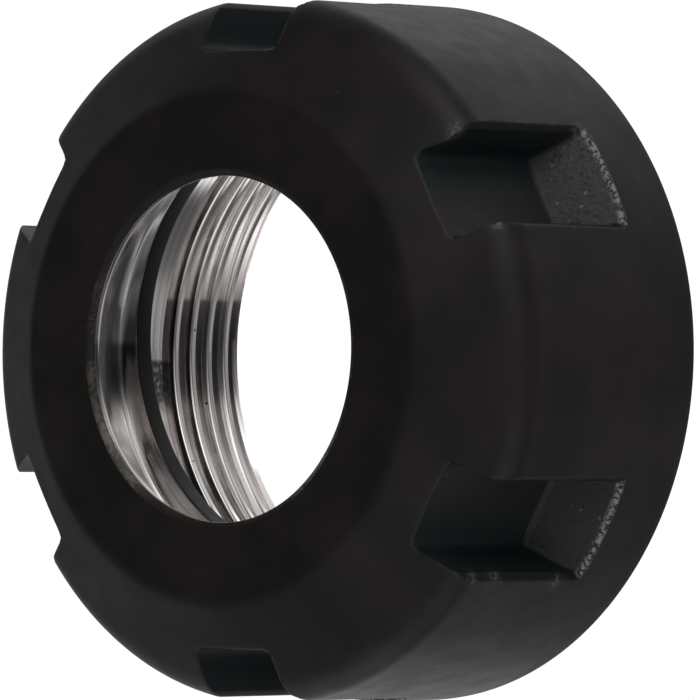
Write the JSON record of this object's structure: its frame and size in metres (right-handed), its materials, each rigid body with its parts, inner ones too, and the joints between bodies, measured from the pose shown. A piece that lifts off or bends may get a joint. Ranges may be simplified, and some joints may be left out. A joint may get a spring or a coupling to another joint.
{
  "type": "collet nut",
  "caption": "Slotted steel collet nut: coned front bore, eccentric pull-out lip inside and threaded rear bore, pressing a spring collet into its chuck.",
  "frame": {"origin": "centre of the threaded rear face, which the nut stands on", "axes": "+Z along the nut's axis towards its front face; +Y through the middle of one spanner slot and towards the side where the eccentric lip stands proud least"},
  "size_m": [0.042, 0.042, 0.02],
  "materials": {
    "black_oxide_steel": "black oxide, satin"
  },
  "bodies": {
    "root": {"nut_body": "black_oxide_steel"}
  },
  "joints": []
}
